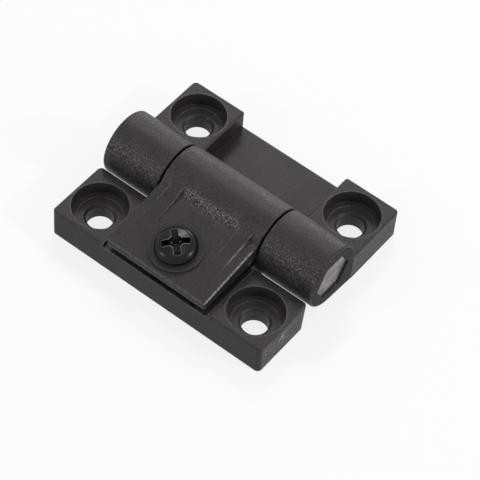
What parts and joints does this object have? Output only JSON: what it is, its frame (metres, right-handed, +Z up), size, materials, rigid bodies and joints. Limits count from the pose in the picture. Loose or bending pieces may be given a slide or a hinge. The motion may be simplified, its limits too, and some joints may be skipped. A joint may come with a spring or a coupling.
{
  "type": "torque hinge",
  "caption": "Small moulded friction hinge: two leaves on a steel shaft, a split clamp with a screw that sets the torque, and counterbored mounting holes.",
  "frame": {"origin": "on the mounting plane, under the middle of the shaft", "axes": "+X along the shaft towards its hexagonal end, +Y towards the rear leaf, +Z up from the mounting plane"},
  "size_m": [0.042, 0.036, 0.012],
  "materials": {
    "leaf_plastic": "fine-grained black moulding",
    "shaft_steel": "drawn bar, sawn end",
    "screw_black": "black coated, glossy",
    "washer_black": "black coated, satin",
    "nut_steel": "zinc coated"
  },
  "bodies": {
    "front": {"front_leaf": "leaf_plastic", "clamp_nut": "nut_steel"},
    "rear": {"rear_leaf": "leaf_plastic", "hinge_shaft": "shaft_steel"},
    "washer": {"screw_washer": "washer_black"},
    "screw": {"adjusting_screw": "screw_black"}
  },
  "joints": [
    {"name": "hinge_turn", "type": "hinge", "parent": "front", "child": "rear", "pos_m": [0, 0, 0.00635], "axis": [1, 0, 0], "range_deg": [-90, 180]},
    {"name": "screw_turn", "type": "hinge", "parent": "front", "child": "washer", "pos_m": [0, -0.0127, 0.00823], "axis": [0, -0.1392, 0.9903], "range_deg": [0, 180]},
    {"name": "screw_lift", "type": "slide", "parent": "washer", "child": "screw", "axis": [0, -0.1392, 0.9903], "range_m": [0, 0.0003]}
  ],
  "couplings": [
    {"joint": "screw_turn", "follows": "screw_lift", "rad_per_m": 10472}
  ]
}
